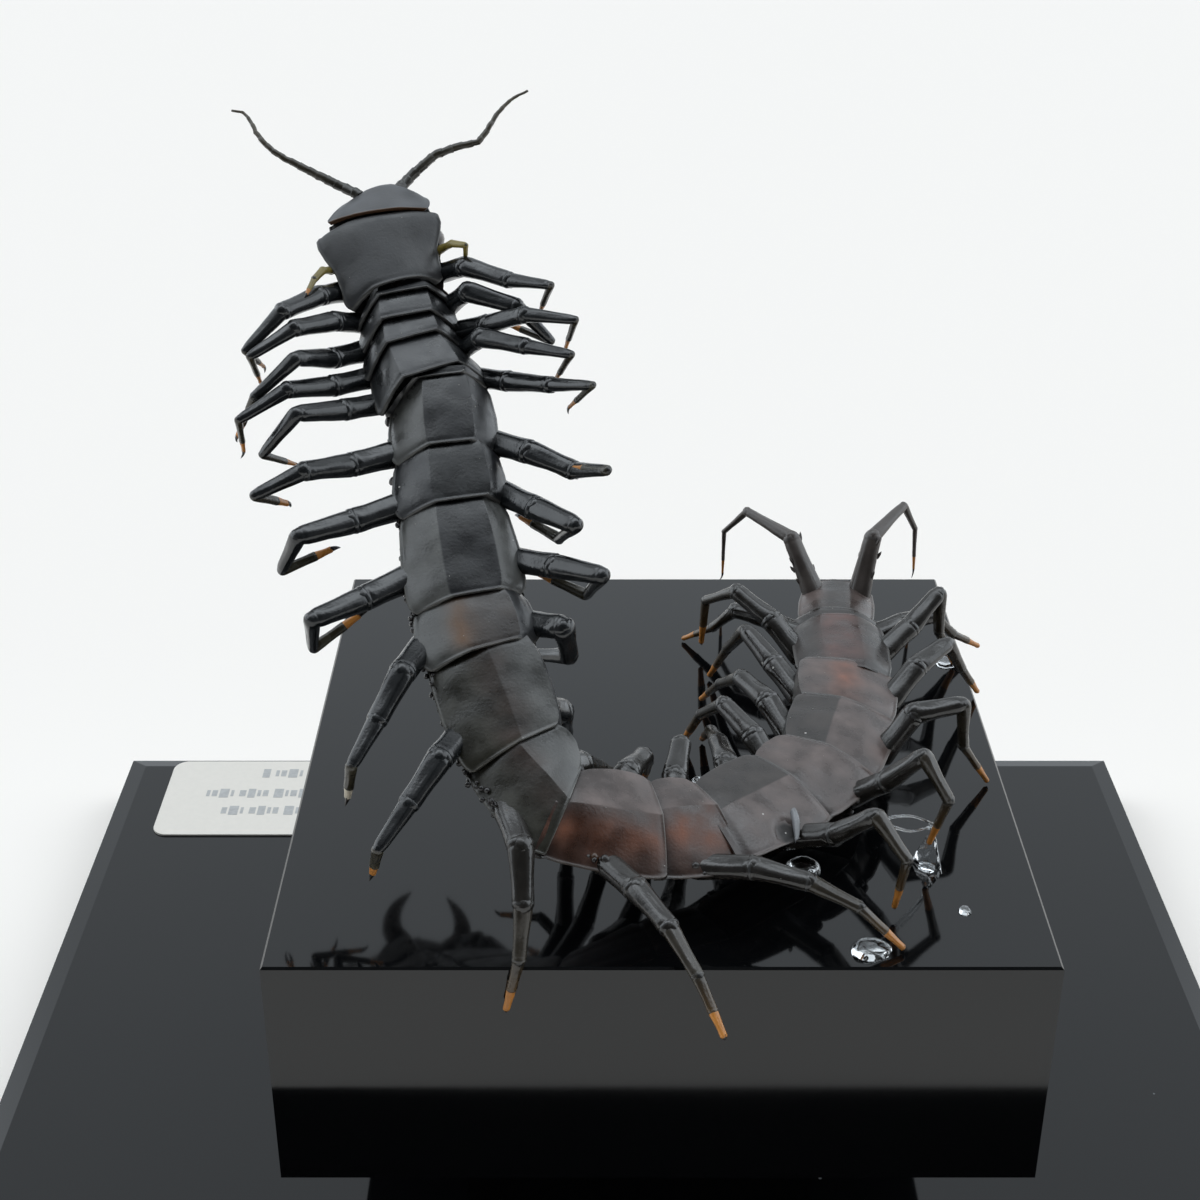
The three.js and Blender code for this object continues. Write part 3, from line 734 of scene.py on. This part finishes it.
def make_leg(shape, pair, side):
    joints, ways, hinge = leg_line(pair, side)
    last, first = pair == 20, pair == 0
    radii = first_leg_radii if first else last_leg_radii if last else neck_leg_radii if pair < 6 else leg_radii
    tail = 11 <= pair < 20
    main = first_yellow if first else last_brown if last else tail_brown if tail else leg_black
    shin = shin_brown if tail else main
    foot = first_yellow if first else last_brown if last else (*shin_brown, *foot_amber) if tail else leg_olive
    toe = cream if (pair, side) == pale_foot else leg_orange
    # the painted highlight colour for the lips
    lip = first_lip_highlight if first else leg_lip_highlight
    hip = joints[0] - ways[0] * (0.5 if first else 1.2)
    toe_end = joints[5] - ways[4] * 0.5 if tail else joints[4]
    ends = [hip, joints[1], joints[2], joints[3], joints[3] + (joints[4] - joints[3]) * 0.68, toe_end]
    for j, tint in enumerate([main, main, shin, foot, toe]):
        sharp_turn = j < 3 and np.dot(ways[j], ways[j + 1]) < 0.5
        horn_tube(shape, ends[j], ends[j + 1], hinge, radii[j], tint, lip if j < 4 else tint,
                  pair * 10 + side * 3 + j, sharp_turn)
        if 0 < j < 4:
            knot = radii[j - 1][1] * (0.7 if np.dot(ways[j - 1], ways[j]) < 0.5 else 0.97)
            skin_tint = main if j < 3 else joint_dark
            joint_skin(shape, ends[j], knot, unit(ways[j - 1] + ways[j]), hinge, skin_tint)
    down = unit(np.cross(ways[4], hinge))
    down = down if down[2] < 0 else -down
    claw_long = 0.6 if tail else claw_length * 1.15
    claw(shape, toe_end - ways[4] * 0.1, ways[4], down, radii[4][1], claw_long, claw_black)
    if last:
        for t, around, long in last_leg_spines:
            out_way = hinge * math.cos(around) + np.cross(ways[0], hinge) * math.sin(around)
            base = joints[0] + (joints[1] - joints[0]) * t + out_way * (1.9 - 0.6 * t) * 0.85
            claw(shape, base, unit(out_way * 0.8 + ways[0]), ways[0], 0.34, long, last_brown)


for pair in range(21):
    for side in (1, -1):
        make_leg(plates[pair], pair, side)
print("legs", 2 * len(leg_poses))

# %% [markdown]
# Small hard lumps crowd round the hips, except at the first and last legs, and along part of the left
# side. A few crumbs lie on the plates. Each is an uneven pebble, placed by chance with a fixed seed.

# %% Hip lumps and crumbs of dust
chance = np.random.default_rng(7)


def lump(shape, centre, radius, tint, seed, around=9):
    """A small uneven pebble."""
    rings = np.array([ring_round(centre + z_axis * radius * math.sin(a), radius * math.cos(a), circle(around),
                                 x_axis, y_axis) for a in np.linspace(-1.35, 1.35, 6)])
    rings = centre + (rings - centre) * (1 + 0.35 * ripple(rings, radius * 1.5, seed))[..., None]
    shape.skin(rings, tint)


for pair in range(1, 20):
    body = Place(leg_poses[pair][0])
    for side in (1, -1):
        for n in range(7):
            out, low, ahead = chance.uniform(0.4, 0.48), chance.uniform(0.6, 2.6), chance.uniform(-2.6, 2.6)
            spot = body.point(side * body.width * out, -body.droop - low) + body.forward * ahead
            tint = (0.05, 0.022, 0.01, 0.3) if n == 0 else (0.016, 0.013, 0.012, 0.28)
            lump(plates[pair], spot, chance.uniform(0.3, 0.75), tint, pair * 7 + n)
for s in np.arange(5.2, 12.8, 0.04):
    body = Place(s)
    spot = body.point(body.width * chance.uniform(0.43, 0.505), -body.droop - chance.uniform(0.2, 2.6))
    size = chance.uniform(0.25, 0.75 if s < 10 else 0.45)
    lump(plates[int(s) - 1], spot, size, (0.014, 0.012, 0.012, 0.25), int(s * 50))
for k, grid in enumerate(plate_grids):
    for n in range(3):
        j, i = chance.integers(6, grid.shape[0] - 3), chance.integers(8, grid.shape[1] - 8)
        lump(plates[k], grid[j, i], chance.uniform(0.04, 0.09), (0.4, 0.39, 0.36, 0.6), n, 6)
print("lumps and crumbs added")

# %% [markdown]
# ## Soft sides and belly
# Between the back plates and the legs the real animal has soft skin, which dried into dark, shiny
# crumples. It is one long skin here, a little inside the plates, with the crumples as noise on its rings.
# Under the belly lies a row of plain plates with two grooves each. The picture hides them, so their form
# follows what such an animal has.

# %% Soft sides
body_depth = 0.42  # of the width


def thinness(s):
    """The neck is thinner than the rest of the body: its mirror image in the block shows that."""
    return float(np.interp(s, [1, 6, 8.5], [0.58, 0.66, 1.0]))


sides = Shape()
counts = [max(2, int(np.linalg.norm(rows[i + 1][0] - rows[i][0]) / 0.55)) for i in range(1, 22)]
stations = [i + n / count for i, count in enumerate(counts, start=1) for n in range(count)] + [21.9]
section = [(0.0, 0.0), (0.45, 0.0), (0.88, 0.9), (0.97, 1.3), (1.0, 2.0), (0.93, 2.8), (0.78, 3.5), (0.6, 4.1),
           (0.0, 4.4)]
fine = np.linspace(0, len(section) - 1, 25)
section = np.stack([np.interp(fine, range(len(section)), [c[i] for c in section]) for i in (0, 1)], axis=1)
rings = []
for s in stations:
    here = Place(min(s, 22 - 1e-6))
    half = here.width / 2 * (0.95 if s < 21 else 0.8) + (0.7 if s < 6.7 else 0.0)
    depth = here.width * body_depth * thinness(s)
    ring = []
    for side, part in ((1, section), (-1, section[-2:0:-1])):
        for share, down in part:
            if down < 1.0:
                low = 1.0 + here.droop * 1.35 * max(share - 0.1, 0) / 0.8
            else:
                low = max(1.0 + here.droop * 1.3 * thinness(s), 1.0 + (depth - 1.0) * (down - 0.4) / 4.0)
            ring.append(here.point(side * share * half, -low))
    rings.append(ring)
rings = np.array(rings)
centre = rings.mean(axis=1, keepdims=True)
outward = (rings - centre) / np.linalg.norm(rings - centre, axis=2, keepdims=True)
crumple = ripple(rings, 1.5, 3) * 0.4 + ripple(rings, 0.7, 9) * 0.2 - 0.1
sides.skin(rings + outward * crumple[..., None], (0.016, 0.012, 0.010, 0.3))
sides.make("soft_sides", horn, "shell_black", crease=60.0)
print("soft sides", len(sides.points), "points")

# %% Belly plates
for k, shape in enumerate(plates, start=1):
    rings = []
    for v in (0.02, 0.1, 0.3, 0.5, 0.7, 0.9, 0.97):
        here = Place(k + v)
        half = here.width * 0.3 * (0.9 if v in (0.02, 0.97) else 1.0)
        low = here.width * body_depth * thinness(k + v) + (0.05 if v in (0.02, 0.97) else 0.3)
        u = np.linspace(-1, 1, 17)
        grooves = 0.12 * (bell(u, 0.45, 0.08) + bell(u, -0.45, 0.08)) + 0.25 * np.abs(u) ** 6
        lower = [here.point(w * half, -low + g) for w, g in zip(u, grooves)]
        rings.append(lower + [here.point(w * half, -low + 0.5) for w in u[::-1]])
    shape.skin(rings, (*(black if k < first_brown_plate else umber), 0.35))


# %% [markdown]
# ## The torn plate
# One plate near the turn of the tail is torn at its outer edge. Its notch was pressed into the plate above
# and painted dark, as painted shade that makes the dent look like a hole. Here the pale flap that curled up
# from it is added, as a short strip that rolls over itself.

# %% Curled flap
rings = []
for t in np.linspace(0, 1, 16):
    here = Place(15.63 - 0.17 * t)
    share = 0.6 + 0.48 * t
    root = here.point(share * here.width / 2, -here.droop * 1.15 * share + 0.3)
    radius = 0.22 + 0.5 * math.sin(math.pi * min(0.15 + 0.8 * t, 1)) ** 0.7
    arc = np.linspace(-0.6, 2.2, 9)
    roll = np.array([here.up * math.sin(a) - here.forward * (1 - math.cos(a)) for a in arc])
    inner = root + (radius - 0.1) * roll[::-1] - here.forward * 0.1
    rings.append(np.concatenate([root + radius * roll, inner]))
plates[torn_plate - 1].skin(rings, (0.17, 0.175, 0.185, 0.25))
print("flap added")

# %% Segments
for k, shape in enumerate(plates, start=1):
    slot = "shell_black" if k < first_brown_plate else "shell_brown"
    shape.make(f"plate_and_legs_{k:02d}", horn, slot, [f"segment_{k:02d}"])
print("segments made")


# %% [markdown]
# ## Head
# The head is a smooth, slightly domed shield. Below it are the jaws: a broad mouth plate and two open
# fangs, whose shape shows in the mirror image on the block. Two kinked feelers grow from its front.

# %% Head
head = Shape()
head_outline = [(0.0, 0.3), (0.02, 0.44), (0.06, 0.56), (0.12, 0.67), (0.22, 0.79), (0.36, 0.88), (0.55, 0.95),
                (0.75, 1.0), (0.93, 1.03), (1.0, 1.0)]
head_half, head_long = 7.2, 8.7
across = plate_steps(head_half, (0.5, -0.5))
along = [0, 0.012, 0.025, 0.05, 0.09, 0.14, 0.22, 0.3, 0.4, 0.5, 0.6, 0.7, 0.8, 0.88, 0.93, 0.96, 0.975,
         0.985, 1]
top = np.zeros((len(along), len(across), 3))
under = np.zeros_like(top)
for j, v in enumerate(along):
    here = Place(-0.05 + 0.91 * v)
    half = head_half * np.interp(v, *zip(*head_outline))
    for i, u in enumerate(across):
        edge = min((1 - abs(u)) * half, (1 - v) * head_long, v * head_long + 0.1)
        height = (0.5 + 0.5 * (1 - v) - (1.1 + 1.6 * (1 - v)) * abs(u) ** 2.3 + rim_relief(edge, 0.06, 0.05)
                  - (1 - min(v / 0.35, 1)) ** 2)
        top[j, i] = here.point(u * half, height) - here.forward * 0.6 * u * v
        under[j, i] = top[j, i] - here.left * 0.06 * u * half - here.up * 0.5
top += (ripple(top, 5.0, 40) * 0.16 + ripple(top, 1.8, 41) * 0.05)[..., None] * Place(0.5).up
cloud = np.clip(0.5 + ripple(top, 2.6, 45), 0, 1)[..., None]
head_tint = np.full((*top.shape[:2], 4), 0.5)
head_tint[..., :3] = np.array([0.066, 0.068, 0.073]) * (0.75 + 0.5 * cloud)
head_tint[-2:] = (0.075, 0.035, 0.014, 0.45)
head.slab(top, under, head_tint)

face = Place(0.0)


def head_point(left, forward, up):
    return face.at + face.left * left + face.forward * forward + face.up * up


turn = circle(20)
rings = []
for t, wide, high, low in ((0.06, 2.6, -1.0, -1.7), (0.14, 4.2, -0.9, -2.2), (0.35, 5.6, -0.8, -3.2),
                           (0.65, 6.1, -0.8, -4.4), (1.02, 6.0, -1.6, -5.6), (1.3, 5.6, -2.2, -5.8)):
    here = Place(t)
    middle, tall = here.point(0, (high + low) / 2), (high - low) / 2
    rings.append(ring_round(middle, 1, turn, here.left * wide, here.up * tall))
head.skin(rings, (0.022, 0.018, 0.014, 0.42))
rings = []
for forward, wide, high, low in ((-4.4, 3.6, -3.6, -5.2), (-5.2, 4.6, -3.2, -6.0), (-6.6, 5.6, -3.0, -6.6),
                                 (-9.0, 6.0, -3.0, -7.0), (-12.0, 5.8, -3.0, -7.2)):
    rings.append([head_point(wide * math.cos(a) * (1 + 0.06 * math.sin(2 * a) ** 2), forward,
                             (high + low) / 2 + (high - low) / 2 * math.sin(a)) for a in turn])
head.skin(rings, (0.014, 0.010, 0.008, 0.5))


def smooth_run(points, radii, count):
    """Points and radii along a smooth curve through the given ones."""
    points, radii = np.array(points, float), np.array(radii, float)
    padded = np.vstack([2 * points[0] - points[1], points, 2 * points[-1] - points[-2]])
    run, sizes = [], []
    for s in np.linspace(0, len(points) - 1 - 1e-6, count):
        i, t = int(s), s - int(s)
        p0, p1, p2, p3 = padded[i:i + 4]
        run.append(0.5 * (2 * p1 + (p2 - p0) * t + (2 * p0 - 5 * p1 + 4 * p2 - p3) * t ** 2
                          + (3 * p1 - p0 - 3 * p2 + p3) * t ** 3))
        sizes.append(radii[i] * (1 - t) + radii[min(i + 1, len(radii) - 1)] * t)
    return np.array(run), np.array(sizes)


def round_run(shape, run, sizes, tint, around=12, seed=1, uneven=0.0, flat=1.0):
    """A round limb along a curve."""
    side = unit(np.cross(run[1] - run[0], z_axis))
    rings = []
    for i, p in enumerate(run):
        way = unit(run[min(i + 1, len(run) - 1)] - run[max(i - 1, 0)])
        side = unit(side - way * np.dot(side, way))
        rings.append(ring_round(p, sizes[i], circle(around), side, np.cross(way, side) * flat))
    rings = np.array(rings)
    if uneven:
        centre = rings.mean(axis=1, keepdims=True)
        rings = centre + (rings - centre) * (1 + uneven * ripple(rings, 0.9, seed))[..., None]
    shape.skin(rings, tint)


for side in (1, -1):
    line = [(3.9, -6.4, -5.2), (5.4, -5.6, -5.8), (6.3, -4.6, -6.6), (6.5, -3.0, -7.4), (6.2, -0.8, -8.3),
            (5.4, 1.2, -9.0), (4.4, 3.0, -9.5), (3.3, 4.8, -9.9)]
    run, sizes = smooth_run([head_point(side * l + 0.2 * (f + 4.5), f, u) for l, f, u in line],
                            [1.8, 2.0, 1.9, 1.65, 1.35, 1.0, 0.6, 0.1], 34)
    along_fang = np.linspace(0, 7, 34)
    ring_marks = 1 + 0.06 * (bell(along_fang, 2.9, 0.12) + bell(along_fang, 3.5, 0.12))
    tint = np.linspace([0.016, 0.009, 0.006, 0.28], [0.012, 0.009, 0.008, 0.2], 34)
    round_run(head, run, sizes * ring_marks, tint, 16)
head.make("head_and_fangs", horn, "shell_black", ["head"])
print("head made")

# %% [markdown]
# ### Feelers
# A feeler is a row of small cups that get thinner to the tip. Dried, it is kinked and uneven.

# %% Feelers
feeler_lines = {
    "left": [[-43.2, 39.0, 71.0], [-44.9, 40.0, 71.6], [-49.9, 41.1, 73.6], [-53.6, 41.9, 75.4],
             [-56.8, 42.8, 77.0], [-59.1, 45.1, 78.8], [-60.1, 47.0, 80.3], [-61.3, 48.1, 81.2],
             [-63.1, 48.3, 81.4]],
    "right": [[-37.8, 39.2, 71.8], [-36.6, 41.4, 72.7], [-32.8, 43.6, 75.6], [-29.2, 44.0, 77.1],
              [-25.9, 43.9, 77.8], [-24.3, 45.8, 79.4], [-23.0, 48.1, 81.3], [-20.8, 50.1, 82.9],
              [-18.6, 51.2, 83.7]],
}
for side, line in feeler_lines.items():
    feeler = Shape()
    points = np.array(line) + middle_of_block_top
    steps = np.concatenate([[0], np.cumsum(np.linalg.norm(np.diff(points, axis=0), axis=1))])
    pieces = 17
    run, sizes = [], []
    for n in range(pieces):
        for t, share in ((0.0, 0.9), (0.12, 0.95), (0.5, 0.98), (0.85, 1.06), (0.96, 1.04)):
            s = (n + t) / pieces * steps[-1]
            p = np.array([np.interp(s, steps, points[:, c]) for c in range(3)])
            kink = np.array([math.sin(n * 2.1), math.cos(n * 3.7), math.sin(n * 5.3)])
            run.append(p + kink * 0.1 * math.sin(math.pi * t))
            sizes.append(share * (0.74 * (1 - (n + t) / pieces) + 0.2))
    tint = np.linspace([0.014, 0.012, 0.008, 0.3], [0.05, 0.038, 0.02, 0.4], len(run))
    round_run(feeler, np.array(run), np.array(sizes), tint, 10, seed=7, uneven=0.12, flat=0.85)
    feeler.make(f"kinked_feeler_{side}", horn, "feelers", [f"feeler_{side}"])
print("feelers made")

# %% [markdown]
# ## Glue
# Small clear drops of glue hold some feet and the belly. Each is a low dome with an uneven outline, in
# plain clear glass with the refractive index of hardened glue.

# %% Glue drops
glue_drops = [[26.3, -49.0, 2.4, 1.2], [19.5, -31.5, 2.2, 1.4], [35.9, -31.4, 1.2, 0.5], [47.0, 23.5, 1.8, 0.6],
              [39.5, -40.9, 0.9, 0.5], [6.2, -10.4, 0.8, 0.6]]


def film_and_thread(shape):
    """A thin glue film that stands between a foot and the block, and a looped thread that hangs over it."""
    low_left, low_right, tip = (np.array(p) + middle_of_block_top for p in
                                ([34.0, -29.9, 0.05], [37.6, -33.1, 0.05], [36.9, -29.4, 5.2]))
    rings = []
    for t in np.linspace(0, 1, 18):
        left, right = low_left + (tip - low_left) * t ** 1.3, low_right + (tip - low_right) * t
        steps = np.linspace(0, 1, 13)[:, None]
        sheet = left + (right - left) * steps
        facing = unit(np.cross(low_right - low_left, tip - low_left))
        wave = (0.35 * np.sin(steps * 5 + t * 2) + ripple(sheet, 1.2, 70)[:, None] * 0.5) * (1 - 0.5 * t)
        rings.append(np.concatenate([sheet + facing * (wave + 0.09), (sheet + facing * (wave - 0.09))[::-1]]))
    shape.skin(rings, (1, 1, 1, 0.05))
    thread = np.array([[28.7, -35.8, 10.7], [30.8, -34.1, 10.1], [33.2, -32.3, 8.9], [35.2, -30.9, 7.3],
                       [36.7, -29.4, 5.4], [35.1, -31.3, 6.2], [33.0, -33.1, 7.1], [30.9, -34.7, 8.7],
                       [28.9, -36.0, 10.2]])
    thickness = [0.3, 0.2, 0.16, 0.16, 0.3, 0.18, 0.16, 0.2, 0.3]
    run, sizes = smooth_run(thread + middle_of_block_top, thickness, 60)
    round_run(shape, run, sizes, (1, 1, 1, 0.05), 8)


for n, (x, y, radius, high) in enumerate(glue_drops, start=1):
    drop = Shape()
    turn = circle(36)
    waves = 0.10 * np.sin(2 * turn + n) + 0.05 * np.sin(3 * turn + 2 * n) + 0.03 * np.sin(7 * turn)
    rings = [ring_round(middle_of_block_top + [x, y, 0.02 + high * math.sin(a)],
                        radius * (1 + waves) * math.cos(a), turn, x_axis, y_axis)
             for a in np.linspace(0, 1.45, 12)]
    drop.skin(rings, (1, 1, 1, 0.05))
    if n == 3:
        film_and_thread(drop)
    drop.make(f"clear_drop_{n}", clear_glue, "clear_glue", [f"glue_drop_{n}"], crease=80.0)
print("glue drops", len(glue_drops))

# %% [markdown]
# ## Card
# A white card with rounded corners lies on the base plate. The block hides its right end, so its length
# is a guess. Its print is too blurred to read in the picture, so it gets rows of small grey marks that
# stand for print without being letters.

# %% Card
card_x, card_y, card_width, card_depth, card_corner, card_thick = -64.2, 93.3, 60.0, 27.0, 3.0, 0.4
card = Shape()


def card_outline(inset, z):
    """The card's outline with rounded corners, drawn in by the inset, at a height."""
    c, s = np.cos(circle(64)), np.sin(circle(64))
    r = card_corner - inset
    x = card_x + np.copysign(card_width / 2 - card_corner, c) + r * c
    y = card_y + np.copysign(card_depth / 2 - card_corner, s) + r * s
    return np.stack([x, y, np.full(64, z)], axis=1)


card.skin([card_outline(0.0, base_top), card_outline(0.0, base_top + card_thick - 0.06),
           card_outline(0.06, base_top + card_thick)], (1, 1, 1, 0.7))
card.make("white_card", card_paper, "card", ["specimen_card"])
print_marks = Shape()
widths = [1.5, 0.7, 1.1, 1.9, 0.6, 1.3]
for line_number, (y, start, end) in enumerate(((102.1, -75, -40), (94.6, -85.6, -38), (88.3, -81.5, -42))):
    x, n = start, line_number
    while x < end:
        wide, half_high = widths[n % 6], 1.1 if n % 3 else 1.6
        ring = [(x, y - half_high), (x + wide, y - half_high), (x + wide, y + half_high), (x, y + half_high)]
        faces = [[(px, py, base_top + card_thick + z) for px, py in ring] for z in (0.005, 0.03)]
        print_marks.skin(faces, (1, 1, 1, 1))
        x, n = x + wide + (0.45 if n % 4 else 1.2), n + 1
print_marks.make("card_marks", card_ink, "card")
print("card made")

# %% [markdown]
# ## Floor
# The display stands on a pale floor that is much larger than the view.

# %% Floor
floor_mesh = bpy.data.meshes.new("floor")
floor_mesh.from_pydata([(-6, -6, 0), (6, -6, 0), (6, 6, 0), (-6, 6, 0)], [], [(0, 1, 2, 3)])
floor_mesh.materials.append(floor_paint)
floor = bpy.data.objects.new("floor", floor_mesh)
floor.location.z = -0.0002
bpy.context.scene.collection.objects.link(floor)
floor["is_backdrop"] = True

# %% Sizes and finish
low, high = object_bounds()
print("visual model:", [round(1000 * s, 1) for s in high - low], "mm")
